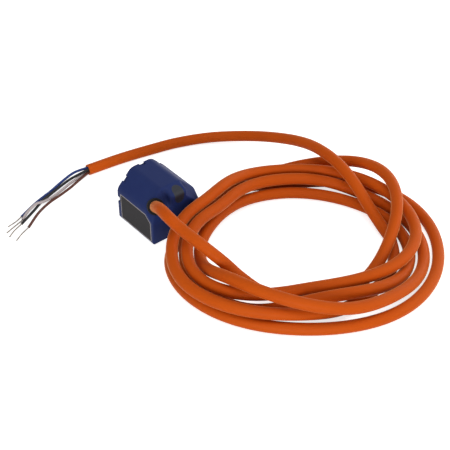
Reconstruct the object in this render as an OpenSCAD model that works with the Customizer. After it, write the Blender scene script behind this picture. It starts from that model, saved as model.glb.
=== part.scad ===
// Compact photoelectric sensor with a fixed cable.
// The blue housing is a cup whose upper part is a regular octagon around the optical axis.
// Its optics face +Y, its label is on the -X side, and its cable leaves a slanted facet at the rear.
// The cable lies on the same surface as the housing, loosely coiled, and ends in four stripped cores.
// Origin in the middle of the base, +Z up, millimetres.

/* [Housing] */
// Width across the flats of the housing
body_w = 25.8; // [25:0.2:27]
// Length of the housing along the beam
body_l = 25; // [25:0.5:28]
// Height of the optical axis above the base
axis_z = 10.2; // [10:0.1:11]
// Thickness of the housing's walls
wall = 2; // [1.8:0.1:2.2]
// Radius of the long edges of the octagon
edge_r = 4; // [2.5:0.25:4]
// Radius of the two edges at the base
base_edge_r = 1; // [0.5:0.25:1.5]
// Length of the slanted facets at the rear, along the beam
bevel_run = 5; // [4.5:0.25:5.5]
// Drop of the left rear facet at the rear face
bevel_drop = 4; // [3.5:0.25:4.5]
// Drop of the middle rear facet, on the block that carries the indicator window
mid_drop = 2.4; // [2:0.2:2.8]
// Drop of the right rear facet at the rear face
right_drop = 6; // [5.5:0.25:6.5]
// Sideways place of the wall between the window's block and the right rear facet
block_wall_x = 5.2; // [4.8:0.2:5.6]
// Sideways place of the wall beside the cable's exit
gland_wall_x = -3.2; // [-3.6:0.2:-2.8]
// Width of the notches in the front rim
notch_w = 2.5; // [2:0.25:3]
// Depth of the notches in the front rim
notch_deep = 0.8; // [0.4:0.1:0.9]
// Length of the notches along the beam
notch_l = 2; // [1.5:0.25:2.5]

/* [Optics] */
// Diameter of both lenses
lens_d = 7; // [6:0.25:7]
// Distance between the two lens axes
lens_pitch = 9.2; // [8.6:0.2:9.4]
// Rise of the convex lens face
lens_rise = 0.9; // [0.5:0.1:1]
// Thickness of the front cover
cover_t = 1.5; // [1.2:0.1:1.6]
// Width of the indicator window
window_w = 4.8; // [4:0.2:5]
// Length of the indicator window, from the middle rear facet down over its lower edge
window_l = 7.8; // [7.2:0.2:8]
// Sideways place of the indicator window
window_x = 1.5; // [1:0.25:2]

/* [Mounting] */
// Distance between the two threaded inserts
insert_pitch = 16; // [15:0.5:16]
// Tapping diameter of the inserts, for M3
insert_bore = 2.5; // [2.4:0.05:2.5]
// Outer diameter of the inserts
insert_d = 4.2; // [4:0.1:4.6]
// Length of the inserts
insert_l = 4; // [3:0.5:4]

/* [Cable] */
// Outer diameter of the cable
cable_d = 5; // [4.6:0.1:5]
// Outer diameter of each core
core_d = 1.2; // [1:0.1:1.2]
// Diameter of the bare tinned conductors
tinned_d = 0.6; // [0.4:0.1:0.6]
// Outer diameter of the grommet's collar
collar_d = 7.2; // [6.6:0.1:7.4]
// Height of the grommet's collar above the edge that it sits on
collar_h = 0.6; // [0.4:0.1:1]

/* [Coil] */
// Half width of the coil's inmost lane, from side to side
coil_a = 41.5; // [41.5:0.5:44]
// Half width of the coil's inmost lane, front to back
coil_b = 37; // [37:0.5:39]
// Step from one lane to the next, and from one layer to the next
coil_step = 5.5; // [5.5:0.1:6]

/* [Hidden] */
$fn = 64;

// A margin by which cutters pass the faces that they cut
over = 1;
front_y = body_l / 2;
rear_y = -body_l / 2;
apothem = body_w / 2;
top_z = axis_z + apothem;
bevel_y = rear_y + bevel_run;
facet_turn = 45;
least_r = 0.5;

// Stack behind the front rim, from the rim's edge inwards
rim_wall = 1.4;
rim_recess = 0.2;
seal_t = 0.5;
cover_gap = 0.1;
cover_y = front_y - rim_recess - cover_t;
ledge_y = cover_y - seal_t;

// Optics block and boards
holder_w = 17.8;
holder_h = 8.8;
holder_front_y = 10.1;
lens_edge = 1;
lens_recess = 0.3;
lens_y = holder_front_y - lens_edge - lens_rise - lens_recess;
tunnel_d = 5.6;
board_t = 1;
optics_board_y = 1.2;
optics_front_y = optics_board_y + board_t;
optics_board_w = 17.6;
optics_board_h = 9.6;
main_board_w = 18;
main_board_z = 6.5;
main_top_z = main_board_z + board_t;
main_rear_y = -9.8;
main_front_y = 0.8;
boss_r = 3.25;
boss_h = 5;
potting_gap = 0.4;

// Small parts on the boards
led_base = [3, 1.2, 3];
led_dome_r = 1.1;
diode_size = [2.4, 0.9, 2.4];
shield_r = 2.4;
shield_wall = 0.25;
shield_h = 2;
shield_port_r = 1;
pin_w = 0.6;
pin_pitch = 2;
pin_count = 6;
pin_rear_y = -1.8;
chip_at = [5.6, -4.6];
chip_w = 4;
chip_h = 1;
chip_lead = [0.4, 0.8, 0.3];
chip_leads_a_side = 4;
chip_lead_pitch = 0.9;
indicator_size = [0.8, 1.6, 0.6];
indicator_pitch = 1.2;
guide_deep = 4.3;
guide_stem_r = 1.5;
guide_air = 0.2;
guide_tilt = 60;
guide_mid = -0.3;
guide_stem_y = rear_y + guide_mid * cos(guide_tilt) + guide_deep * sin(guide_tilt);
guide_stem_top_z = 19.6;

// Chip capacitors and resistors: place and size on the main board
board_part_list = [
  [[-7.6, -8.4], [1.2, 2, 0.9]], [[-5.2, -8.4], [1.2, 2, 0.9]], [[-2.8, -8.4], [1.2, 2, 0.6]],
  [[5, -8.6], [2, 1.2, 0.7]], [[7.6, -8.6], [2, 1.2, 0.7]], [[7.8, -0.6], [1.2, 2, 1.2]],
  [[-7.8, -0.6], [1.2, 2, 1.2]]
];

// Label outline on the -X face, as distances along the beam and heights
label_t = 0.3;
label_front_gap = 2;
label_rear_gap = 1.5;
label_front_y = front_y - label_front_gap;
label_rear_y = rear_y + label_rear_gap;
label_low_z = 1;
label_high_z = 13.7;
label_cut = [3.6, 2.9];

// The steep face below the left rear facet runs from the end face's left corner up to the top.
// The cable leaves the middle of the edge between the two, half way between their normals.
facet_half = apothem * tan(facet_turn / 2);
facet_drop = bevel_drop * cos(facet_turn);
facet_tilt = atan(facet_drop / bevel_run);
facet_way = [-cos(facet_tilt) * sin(facet_turn), -sin(facet_tilt), cos(facet_tilt) * cos(facet_turn)];
gland_low_z = axis_z + facet_half - bevel_drop;
gland_tilt = atan((top_z - gland_low_z) / bevel_run);
gland_way = [0, -sin(gland_tilt), cos(gland_tilt)];
cable_exit = [-(apothem + facet_half) / 2, rear_y + bevel_run / 2, (top_z + gland_low_z) / 2];
cable_way = unit(facet_way + gland_way);
cable_inside = 7;
collar_deep = 2;
grommet_r = 3;
grommet_deep = 3.6;
grommet_gap = 0.1;
crimp_l = 2;
crimp_r = 2.9;
bore_end = 0.8;
bore_deep = grommet_deep + crimp_l + bore_end;

// The cable from the grommet over the left strands and down to the coil
lead_route = [
  [-11.6, -17.5, 21.4], [-12.4, -24, 21.6], [-11.2, -30.5, 19.2], [-9.6, -41.2, 17.2],
  [-5.6, -50.2, 11.8], [-2.8, -56.8, 7.2], [0, -66.8, 4.8]
];
lead_straight = 3;

// The cable from the coil, over the far strands and behind the housing to its cut end
tail_route = [
  [67, -66.5, 4], [68.5, -57, 8], [70, -47, 13], [71.8, -36, 15.6], [73.3, -24, 15.6], [74, -12, 13.5],
  [72.5, 2, 9.5], [66.5, 17, 5.5], [54.5, 30.5, 3], [40, 38, 2.5], [25, 42, 2.5], [10, 45, 2.5],
  [-6, 47, 2.5]
];

// Each free core: its place in the cable's end, its route, and the route of its bare conductor
core_spread = 0.75;
blue_route = [[-12.3, 48.9, 2.9], [-19, 48.2, 1.7], [-27.4, 46.1, 0.6], [-36.5, 43.2, 0.6], [-46, 39, 0.6]];
blue_bare = [[-50.2, 36.7, 1.3], [-54.5, 35.6, 1.5]];
black_route = [[-14, 47.1, 2], [-19.8, 46.6, 1.2], [-28.8, 44.2, 0.6], [-34, 42.3, 0.6], [-40, 39, 0.6],
               [-48.5, 34.7, 0.6]];
black_bare = [[-53.2, 32.8, 0.5], [-57, 30.5, 0.4]];
white_route = [[-11.4, 46.8, 1], [-16.4, 45.9, 0.6], [-21.4, 44.3, 0.6], [-28.1, 42.3, 0.6],
               [-34.2, 41, 1.5], [-37, 40.5, 2.5], [-40, 39.8, 2.3], [-43.5, 38.7, 1.5], [-46.7, 37, 0.6]];
white_bare = [[-51.9, 35.2, 0.4], [-56.5, 33.6, 0.4]];
brown_route = [[-12.8, 44.9, 0.8], [-18.5, 43, 0.6], [-24.9, 41.3, 0.6], [-31.3, 39.8, 0.6],
               [-38.8, 36.6, 0.6], [-47.4, 30.8, 0.6]];
brown_bare = [[-51.8, 28.9, 0.5], [-55.9, 26.6, 0.4]];

// Solder pads of the inner cores on the main board
pad_y = -3.2;
pad_rise = 1.6;
pad_x = [-1.2, -3.2, -5.2, -7.2];
inner_spread = 1.2;
inner_run = 0.6;

// Winding chart of the coil. The coil is laid by hand: at every station, an equal step in angle,
// the chart gives the lane, counted outwards, and the layer, counted upwards. A new line starts a turn
// at the front left. Before the end of each turn the strands are heaped against the housing.
coil_centre = [31.5, -52.5];
coil_turn = -39.5;
coil_start = 270;
stations_a_turn = 16;
winding = [
  [-0.9, 0], [-0.9, 0], [-0.9, 0], [-1.1, 0.45], [-0.6, 1.25], [1, 2.2], [2.8, 2.3],
  [3.8, 0.9], [3.1, 0], [1.9, 0], [1.25, 0], [-0.7, 0], [1.95, 0], [2.5, 0],

  [2.5, 0], [2.3, 0], [2.2, 0], [2.5, 0], [3, 0], [3.1, 0], [3.1, 0], [3.3, 0],
  [3, 0], [1.8, 0], [0.9, 0], [0.9, 0.2], [0.6, 1.1], [-0.2, 1.05], [0.75, 0.95], [1.4, -0.1],

  [1.4, 0], [1.1, 0], [0.5, 1.05], [0.3, 1.2], [0.95, 0.95], [1.1, 0], [0.9, 0], [0.5, 0],
  [0, 0], [-0.2, 0], [-0.2, 0], [-0.25, 0], [-0.7, 0.4], [-0.95, 0.6], [-0.35, 0.2], [0.2, 0.3],

  [0.7, 2.1], [1.3, 2.4], [2, 2.2], [2.4, 1.4], [2.1, 1], [2.1, 0.1], [2, 0], [1.7, 0],
  [1.2, 0.1], [0.6, 0.9], [0.2, 1.1], [0.2, 1.05], [-0.7, 1.5], [-1.15, 1.5], [0.2, 1.9], [1.5, 1],

  [1.6, 1.1], [0.4, 1.15], [-0.7, 1.1], [-0.85, 1.1], [-0.4, 1.1], [0.6, 1.1], [1.5, 1.1], [1.7, 1.1],
  [1.9, 1.1], [1.7, 1.1], [1.4, 1.1], [1.35, 1.2], [0.2, 2.15], [-0.25, 2.1], [1.35, 2.15], [2.65, 1],

  [2.7, 1.1], [2.3, 1.15], [1.6, 0.9], [0.9, 0.05], [0.15, 0], [0, 0], [-0.3, 0]
];
coil_rings_a_turn = 24;
coil_sides = 6;
cable_sides = 10;
core_sides = 8;
gap_points_a_station = 12;
gap_skip = 24;

blue = "#2b3866";
acrylic = "#301014";
black_plastic = "#1c1b1d";
glass_clear = "#c8d4dc";
board_green = "#1f5a3a";
steel = "#b8babd";
brass = "#b89a52";
orange = "#d8641f";
rubber_black = "#161313";

// A vector of length one
function unit(v) = v / norm(v);

// Corners of the housing's outline at a depth under its surface, seen along the beam
function body_corners(inset) =
  let (a = apothem - inset, h = a * tan(facet_turn / 2))
  [[-a, inset], [a, inset], [a, axis_z + h], [h, axis_z + a], [-h, axis_z + a], [-a, axis_z + h]];
function body_radii(inset) =
  let (long = max(edge_r - inset, least_r), low = max(base_edge_r - inset, least_r))
  [low, low, long, long, long, long];

// Unit vectors from a corner of an outline to its neighbours, and what its round needs
function to_last(c, i) = unit(c[(i + len(c) - 1) % len(c)] - c[i]);
function to_next(c, i) = unit(c[(i + 1) % len(c)] - c[i]);
function half_angle(c, i) = acos(to_last(c, i) * to_next(c, i)) / 2;
function round_ends(c, i, r) =
  let (t = r / tan(half_angle(c, i)))
  [c[i] + t * to_last(c, i), c[i] + t * to_next(c, i)];
function round_centre(c, i, r) =
  c[i] + unit(to_last(c, i) + to_next(c, i)) * r / sin(half_angle(c, i));

// The cubic curve through a stretch of the winding chart
function blend(p0, p1, p2, p3, f) =
  (pow(1 - f, 3) * p0 + (3 * pow(f, 3) - 6 * f * f + 4) * p1
   + (3 * f + 3 * f * f - 3 * pow(f, 3) + 1) * p2 + pow(f, 3) * p3) / 6;
stations = len(winding) - 1;
function chart_at(i) =
  i < 0 ? 2 * winding[0] - winding[1] :
  i > stations ? 2 * winding[stations] - winding[stations - 1] : winding[i];

// A point of the coil's centreline at a station, whole or in between
function coil_at(t) =
  let (
    i = min(floor(t), stations - 1),
    lay = blend(chart_at(i - 1), chart_at(i), chart_at(i + 1), chart_at(i + 2), t - i),
    angle = coil_start + t * 360 / stations_a_turn,
    oval = coil_a * coil_b / norm([coil_b * cos(angle), coil_a * sin(angle)]),
    r = oval + lay[0] * coil_step,
    way = angle + coil_turn
  )
  [coil_centre[0] + r * cos(way), coil_centre[1] + r * sin(way), cable_d / 2 + max(lay[1], 0) * coil_step];

// Both ends of the coil run straight for one cable diameter
nudge = 0.01;
head_way = unit(coil_at(0) - coil_at(nudge));
foot_way = unit(coil_at(stations) - coil_at(stations - nudge));
coil_head = coil_at(0) + cable_d * head_way;
coil_foot = coil_at(stations) + cable_d * foot_way;
coil_pitch = stations_a_turn / coil_rings_a_turn;
coil_path = concat(
  [coil_head], [for (k = [0:round(stations / coil_pitch)]) coil_at(k * coil_pitch)], [coil_foot]
);
lead_path = concat(
  [cable_exit - cable_inside * cable_way, cable_exit, cable_exit + lead_straight * cable_way],
  lead_route, [coil_head]
);
tail_path = concat([coil_foot], tail_route);

// Places of the cores in the cut end of the cable, and of the inner cores in its other end
tail_end = tail_route[len(tail_route) - 1];
tail_way = unit(tail_end - tail_route[len(tail_route) - 2]);
tail_side = unit(cross([0, 0, 1], tail_way));
function core_root(side, up) = tail_end - core_spread * side * tail_side + core_spread * up * [0, 0, 1];
inner_end = cable_exit - cable_inside * cable_way;
inner_across = unit(cross([0, 1, 0], cable_way));
inner_up = cross(cable_way, inner_across);
function inner_path(i, across, up) =
  let (
    root = inner_end + inner_spread * (across * inner_across + up * inner_up),
    pad = [pad_x[i], pad_y, main_top_z]
  )
  [root, root - inner_run * cable_way, pad + [0, 0, pad_rise], pad];

// The way a path runs at a point, and one ring of a tube around it
function way_at(path, i) =
  let (n = len(path) - 1)
  i == 0 ? unit(path[1] - path[0]) :
  i == n ? unit(path[n] - path[n - 1]) : unit(unit(path[i + 1] - path[i]) + unit(path[i] - path[i - 1]));
function ring(centre, way, r, sides, up) =
  let (u = unit(cross(way, up)), v = cross(u, way))
  [for (k = [0:sides - 1]) centre + r * (cos(360 * k / sides) * u + sin(360 * k / sides) * v)];

// A closed tube of triangles along a path; the ways at its ends may be given
module tube(path, d, sides, first_way = undef, last_way = undef, up = [0, 0, 1]) {
  n = len(path);
  ways = [for (i = [0:n - 1])
    i == 0 && !is_undef(first_way) ? first_way :
    i == n - 1 && !is_undef(last_way) ? last_way : way_at(path, i)];
  rings = [for (i = [0:n - 1]) each ring(path[i], ways[i], d / 2, sides, up)];
  points = concat([path[0], path[n - 1]], rings);
  first = 2;
  last = first + (n - 1) * sides;
  walls = [for (i = [0:n - 2], k = [0:sides - 1])
    let (a = first + i * sides + k, b = first + i * sides + (k + 1) % sides)
    each [[a, b, a + sides], [b, b + sides, a + sides]]];
  caps = [for (k = [0:sides - 1])
    let (k2 = (k + 1) % sides)
    each [[0, first + k2, first + k], [1, last + k, last + k2]]];
  polyhedron(points = points, faces = concat(walls, caps));
}

// A convex outline with each corner rounded
module rounded_outline(corners, radii) {
  last = len(corners) - 1;
  polygon([for (i = [0:last]) each round_ends(corners, i, radii[i])]);
  for (i = [0:last]) translate(round_centre(corners, i, radii[i])) circle(r = radii[i]);
}

// A prism of the housing's outline between two places along the beam
module body_prism(inset, from_y, to_y) {
  translate([0, to_y, 0]) rotate([90, 0, 0]) linear_extrude(to_y - from_y)
    rounded_outline(body_corners(inset), body_radii(inset));
}

// The frame of a slanted rear facet: X along its upper edge, Y up its slope, Z out of it
module on_facet(turn, drop) {
  tilt = atan(drop * cos(turn) / bevel_run);
  translate([0, 0, axis_z]) rotate([0, turn, 0]) translate([0, bevel_y, apothem]) rotate([tilt, 0, 0])
    children();
}

// What lies beyond a slanted rear facet
module facet_cut(turn, drop, inset) {
  on_facet(turn, drop) translate([-body_w, -body_l / 2, -inset])
    cube([2 * body_w, body_l / 2 + edge_r, body_w]);
}

// What lies behind the steep face, as far as the wall beside the cable's exit
module gland_cut(inset) {
  slope = [cos(gland_tilt), sin(gland_tilt)];
  low = [rear_y, gland_low_z] - 2 * wall * slope;
  high = [bevel_y, top_z] + 2 * wall * slope;
  translate([-body_w, inset * sin(gland_tilt), -inset * cos(gland_tilt)]) rotate([90, 0, 90])
    linear_extrude(body_w + gland_wall_x + inset)
      polygon([low, high, [low[0] - body_l, high[1]], [low[0] - body_l, low[1]]]);
}

// The housing's outer form, or its hollow at a depth under the surface
module body_form(inset, to_y) {
  difference() {
    body_prism(inset, rear_y + inset, to_y);
    facet_cut(-facet_turn, bevel_drop, inset);
    facet_cut(0, mid_drop, inset);
    intersection() {
      facet_cut(facet_turn, right_drop, inset);
      translate([block_wall_x - inset, -body_l, 0]) cube([body_w, 2 * body_l, 2 * body_w]);
    }
    gland_cut(inset);
  }
}

// A place along the cable's axis, with Z out along it
module on_cable_axis(depth) {
  translate(cable_exit - depth * cable_way)
    rotate([0, acos(cable_way[2]), atan2(cable_way[1], cable_way[0])]) children();
}

// The indicator window's outline, a slot with round ends, swept across the middle facet's lower edge
module window_slot(from_depth, to_depth) {
  run = window_l - window_w;
  translate([window_x, rear_y, top_z - mid_drop]) rotate([guide_tilt, 0, 0])
    translate([0, guide_mid, -to_depth]) linear_extrude(to_depth - from_depth) {
      for (side = [-1, 1]) translate([0, side * run / 2]) circle(d = window_w);
      translate([-window_w / 2, -run / 2]) square([window_w, run]);
    }
}

module label_outline() {
  polygon([
    [label_rear_y, label_low_z], [label_front_y, label_low_z], [label_front_y, label_high_z],
    [label_rear_y + label_cut[0], label_high_z], [label_rear_y, label_high_z - label_cut[1]]
  ]);
}

module label_block(t) {
  translate([-apothem, 0, 0]) rotate([90, 0, 90]) linear_extrude(t) label_outline();
}

module at_inserts() {
  for (side = [-1, 1]) translate([side * insert_pitch / 2, 0, 0]) children();
}

module at_lens(side, y) {
  translate([side * lens_pitch / 2, y, axis_z]) rotate([-90, 0, 0]) children();
}

module on_main_board(at, size) {
  translate([at[0] - size[0] / 2, at[1] - size[1] / 2, main_top_z]) cube(size);
}

module housing() {
  color(blue) difference() {
    union() {
      difference() {
        body_form(0, front_y);
        body_form(wall, front_y + over);
      }
      at_inserts() translate([0, 0, wall / 2]) cylinder(r = boss_r, h = boss_h - wall / 2);
    }
    body_prism(rim_wall, ledge_y, front_y + over);
    at_inserts() translate([0, 0, -over]) cylinder(d = insert_d, h = insert_l + over);
    for (turn = [-90:facet_turn:90])
      translate([0, front_y - notch_l, axis_z]) rotate([0, turn, 0])
        translate([-notch_w / 2, 0, apothem - notch_deep]) cube([notch_w, notch_l + over, notch_deep + over]);
    on_cable_axis(bore_deep) cylinder(r = grommet_r, h = bore_deep);
    on_cable_axis(collar_deep) cylinder(d = collar_d, h = collar_deep + wall);
    window_slot(-2 * wall, guide_deep + over);
    translate([-over, 0, 0]) label_block(label_t + over);
  }
}

module front_cover() {
  color(acrylic) body_prism(rim_wall + cover_gap, cover_y, cover_y + cover_t);
}

module cover_seal() {
  color(rubber_black) difference() {
    body_prism(rim_wall + cover_gap, ledge_y, cover_y);
    body_prism(wall, ledge_y - over, cover_y + over);
  }
}

module lens_holder() {
  color(black_plastic) difference() {
    translate([-holder_w / 2, optics_front_y, axis_z - holder_h / 2])
      cube([holder_w, holder_front_y - optics_front_y, holder_h]);
    for (side = [-1, 1]) {
      at_lens(side, optics_front_y - over) cylinder(d = tunnel_d, h = body_l);
      at_lens(side, lens_y) cylinder(d = lens_d, h = body_l);
    }
  }
}

module lens(side) {
  ball_r = (pow(lens_d / 2, 2) + pow(lens_rise, 2)) / (2 * lens_rise);
  color(glass_clear) at_lens(side, lens_y) intersection() {
    cylinder(d = lens_d, h = lens_edge + lens_rise);
    translate([0, 0, lens_edge + lens_rise - ball_r]) sphere(r = ball_r);
  }
}

module emitter_lens() {
  lens(-1);
}

module receiver_lens() {
  lens(1);
}

module emitter_led() {
  color(glass_clear) translate([-lens_pitch / 2, optics_front_y, axis_z]) {
    translate([-led_base[0] / 2, 0, -led_base[2] / 2]) cube(led_base);
    translate([0, led_base[1], 0]) sphere(r = led_dome_r);
  }
}

module receiver_diode() {
  color(black_plastic) translate([lens_pitch / 2, optics_front_y, axis_z])
    translate([-diode_size[0] / 2, 0, -diode_size[2] / 2]) cube(diode_size);
}

module receiver_shield() {
  color(steel) at_lens(1, optics_front_y) difference() {
    cylinder(r = shield_r, h = shield_h);
    translate([0, 0, -over]) cylinder(r = shield_r - shield_wall, h = shield_h + over - shield_wall);
    cylinder(r = shield_port_r, h = shield_h + over);
  }
}

module optics_board() {
  color(board_green) translate([-optics_board_w / 2, optics_board_y, axis_z - holder_h / 2])
    cube([optics_board_w, board_t, optics_board_h]);
}

module main_board() {
  color(board_green) translate([-main_board_w / 2, main_rear_y, main_board_z])
    cube([main_board_w, main_front_y - main_rear_y, board_t]);
}

module board_pins() {
  color(brass) for (k = [0:pin_count - 1])
    translate([(k - (pin_count - 1) / 2) * pin_pitch - pin_w / 2, pin_rear_y, main_top_z])
      cube([pin_w, optics_board_y - pin_rear_y, pin_w]);
}

module signal_chip() {
  color(black_plastic) {
    on_main_board(chip_at, [chip_w, chip_w, chip_h]);
    for (side = [-1, 1], k = [0:chip_leads_a_side - 1])
      on_main_board(
        chip_at + [(k - (chip_leads_a_side - 1) / 2) * chip_lead_pitch, side * chip_w / 2], chip_lead
      );
  }
}

module board_parts() {
  color("#6a5a48") for (item = board_part_list) on_main_board(item[0], item[1]);
}

module indicator_leds() {
  color("#e8e0c0") for (side = [-1, 1])
    on_main_board([window_x + side * indicator_pitch / 2, guide_stem_y], indicator_size);
}

module light_guide() {
  stem_low_z = main_top_z + indicator_size[2] + guide_air;
  color("#50525c") {
    intersection() {
      window_slot(-2 * wall, guide_deep);
      body_form(0, front_y);
    }
    translate([window_x, guide_stem_y, stem_low_z])
      cylinder(r = guide_stem_r, h = guide_stem_top_z - stem_low_z);
  }
}

module cable_grommet() {
  color(rubber_black) difference() {
    union() {
      on_cable_axis(grommet_deep) cylinder(r = grommet_r, h = grommet_deep);
      on_cable_axis(collar_deep) cylinder(d = collar_d, h = collar_deep + collar_h);
    }
    on_cable_axis(grommet_deep + over) cylinder(d = cable_d + 2 * grommet_gap, h = grommet_deep + 3 * over);
  }
}

module crimp_ring() {
  color(steel) on_cable_axis(grommet_deep + crimp_l) difference() {
    cylinder(r = crimp_r, h = crimp_l);
    translate([0, 0, -over]) cylinder(d = cable_d + 2 * grommet_gap, h = crimp_l + 2 * over);
  }
}

module inner_core(i, across, up) {
  tube(inner_path(i, across, up), core_d, core_sides, up = [1, 0, 0]);
}

module inner_core_blue() {
  color("#2f4f9c") inner_core(2, 0, 1);
}

module inner_core_black() {
  color("#1a1a1c") inner_core(0, 1, 0);
}

module inner_core_white() {
  color("#d8d4d2") inner_core(3, -1, 0);
}

module inner_core_brown() {
  color("#6a3a24") inner_core(1, 0, -1);
}

module threaded_inserts() {
  color(brass) at_inserts() difference() {
    cylinder(d = insert_d, h = insert_l);
    translate([0, 0, -over]) cylinder(d = insert_bore, h = insert_l + 2 * over);
  }
}

module label_plate() {
  color("#494547") label_block(label_t);
}

module potting_fill() {
  color("#2a2a2c") translate([-main_board_w / 2, main_rear_y, wall])
    cube([main_board_w, -boss_r - potting_gap - main_rear_y, main_board_z - wall]);
}

module cable_lead() {
  color(orange) tube(lead_path, cable_d, cable_sides, last_way = -head_way);
}

module cable_coil() {
  color(orange) tube(coil_path, cable_d, coil_sides);
}

module cable_tail() {
  color(orange) tube(tail_path, cable_d, cable_sides, first_way = foot_way);
}

module free_core(side, up, route) {
  tube(concat([core_root(side, up)], route), core_d, core_sides, first_way = tail_way);
}

module core_blue() {
  color("#2f4f9c") free_core(1, 1, blue_route);
}

module core_black() {
  color("#1a1a1c") free_core(-1, 1, black_route);
}

module core_white() {
  color("#d8d4d2") free_core(1, -1, white_route);
}

module core_brown() {
  color("#6a3a24") free_core(-1, -1, brown_route);
}

module bare_end(route, bare) {
  n = len(route);
  tube(concat([route[n - 1]], bare), tinned_d, core_sides, first_way = unit(route[n - 1] - route[n - 2]));
}

module tinned_ends() {
  color(steel) {
    bare_end(blue_route, blue_bare);
    bare_end(black_route, black_bare);
    bare_end(white_route, white_bare);
    bare_end(brown_route, brown_bare);
  }
}

// The least gap between the coil's own turns, measured on points of its centreline
module print_coil_gap() {
  points = [for (k = [0:stations * gap_points_a_station]) coil_at(k / gap_points_a_station)];
  n = len(points);
  near = [for (i = [0:n - gap_skip - 1]) min([for (j = [i + gap_skip:n - 1]) norm(points[i] - points[j])])];
  echo(str("least gap between the turns of the coil, mm: ", min(near) - cable_d));
}

housing();
front_cover();
cover_seal();
lens_holder();
emitter_lens();
receiver_lens();
emitter_led();
receiver_diode();
receiver_shield();
optics_board();
main_board();
board_pins();
signal_chip();
board_parts();
indicator_leds();
light_guide();
cable_grommet();
crimp_ring();
inner_core_blue();
inner_core_black();
inner_core_white();
inner_core_brown();
threaded_inserts();
label_plate();
potting_fill();
cable_lead();
cable_coil();
cable_tail();
core_blue();
core_black();
core_white();
core_brown();
tinned_ends();
print_coil_gap();  // cable_coil
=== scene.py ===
"""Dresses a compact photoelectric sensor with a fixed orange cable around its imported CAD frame.

Sizes are millimetres, as on a drawing, and MM turns them into metres where a mesh is made.
The frame is the CAD's: origin in the middle of the housing's base, +Z up, +Y along the light beam.
"""

import logging
import math
from collections.abc import Callable, Iterator, Sequence
from contextlib import contextmanager
from dataclasses import dataclass, field
from enum import Enum

import bmesh
import bpy
from mathutils import Matrix, Vector


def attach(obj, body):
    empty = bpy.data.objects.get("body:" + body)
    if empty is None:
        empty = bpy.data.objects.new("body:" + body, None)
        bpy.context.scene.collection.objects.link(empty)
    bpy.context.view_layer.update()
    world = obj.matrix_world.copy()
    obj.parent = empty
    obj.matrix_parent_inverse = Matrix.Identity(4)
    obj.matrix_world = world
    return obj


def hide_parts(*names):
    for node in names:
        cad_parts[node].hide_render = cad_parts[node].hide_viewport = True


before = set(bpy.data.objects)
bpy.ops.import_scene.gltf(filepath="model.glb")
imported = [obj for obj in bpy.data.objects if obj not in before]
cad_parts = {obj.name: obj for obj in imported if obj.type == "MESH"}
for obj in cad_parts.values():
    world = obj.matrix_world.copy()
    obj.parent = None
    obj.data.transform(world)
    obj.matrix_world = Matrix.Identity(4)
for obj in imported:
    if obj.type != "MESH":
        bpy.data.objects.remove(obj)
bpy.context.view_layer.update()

MM = 0.001
BODY = "root"
TOUCH = 1e-6  # metres
NEAR = 0.01  # millimetres
EIGHTH = math.tan(math.radians(22.5))
CREASE = 28  # degrees up to which a shaped piece is shaded smoothly
TUBE_CREASE = 40  # the same for a tube
FACING = 0.9  # the least share of a normal that lies along the way a face looks
NOISE_LOW, NOISE_HIGH = 0.3, 0.7  # the range that most of a noise pattern lies in
NOISE_ROUGH = 0.55  # how much of each finer wave is in it
UP = Vector((0, 0, 1))
Colour = tuple[float, float, float]
Triple = tuple[float, float, float]
Piece = bpy.types.Object
Material = bpy.types.Material
Socket = bpy.types.NodeSocket
Edge = bmesh.types.BMEdge

log = logging.getLogger("sensor")


# Mesh work, as by hand


def mm(point: Sequence[float]) -> Vector:
    """Returns a point given in millimetres as a vector in metres."""
    return Vector(point) * MM


def take(piece: Piece) -> None:
    """Makes a piece the only selected object, and the active one."""
    bpy.ops.object.select_all(action="DESELECT")
    piece.select_set(True)
    bpy.context.view_layer.objects.active = piece


@contextmanager
def edit_mode(piece: Piece) -> Iterator[bmesh.types.BMesh]:
    """Opens a piece in edit mode with nothing selected.

    Args:
        piece: the mesh object to shape.

    Returns:
        The edit mesh, for picking edges and faces.
    """
    take(piece)
    bpy.ops.object.mode_set(mode="EDIT")
    bpy.ops.mesh.select_mode(type="EDGE")
    bpy.ops.mesh.select_all(action="DESELECT")
    yield bmesh.from_edit_mesh(piece.data)
    bpy.ops.object.mode_set(mode="OBJECT")


def new_object(name: str, data: bpy.types.ID) -> Piece:
    """Puts a mesh, a lamp or a camera into the scene as a new object."""
    piece = bpy.data.objects.new(name, data)
    bpy.context.scene.collection.objects.link(piece)
    return piece


def adopt(name: str) -> Piece:
    """Names the primitive that was just added, and settles it."""
    piece = bpy.context.object
    piece.name = piece.data.name = name
    settle(piece)
    return piece


def new_box(name: str, low: Sequence[float], high: Sequence[float]) -> Piece:
    """Adds a cube primitive between two corners.

    Args:
        name: the piece's name.
        low: its lowest corner, in millimetres.
        high: its highest corner, in millimetres.

    Returns:
        The new object, its place in its mesh.
    """
    bpy.ops.object.select_all(action="DESELECT")
    bpy.ops.mesh.primitive_cube_add(size=1, location=(mm(low) + mm(high)) / 2)
    bpy.context.object.scale = mm(high) - mm(low)
    return adopt(name)


def new_rod(name: str, radius: float, low: float, high: float, sides: int = 64) -> Piece:
    """Adds a cylinder primitive along Z at the origin.

    Args:
        name: the piece's name.
        radius: its radius, in millimetres.
        low: its lower end, in millimetres.
        high: its upper end, in millimetres.
        sides: the number of its sides.

    Returns:
        The new object, its place in its mesh.
    """
    bpy.ops.object.select_all(action="DESELECT")
    bpy.ops.mesh.primitive_cylinder_add(
        vertices=sides, radius=radius * MM, depth=(high - low) * MM,
        location=(0, 0, (low + high) / 2 * MM),
    )
    return adopt(name)


def settle(piece: Piece) -> None:
    """Moves an object's place, turn and scale into its mesh."""
    take(piece)
    bpy.ops.object.transform_apply(location=True, rotation=True, scale=True)


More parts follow.
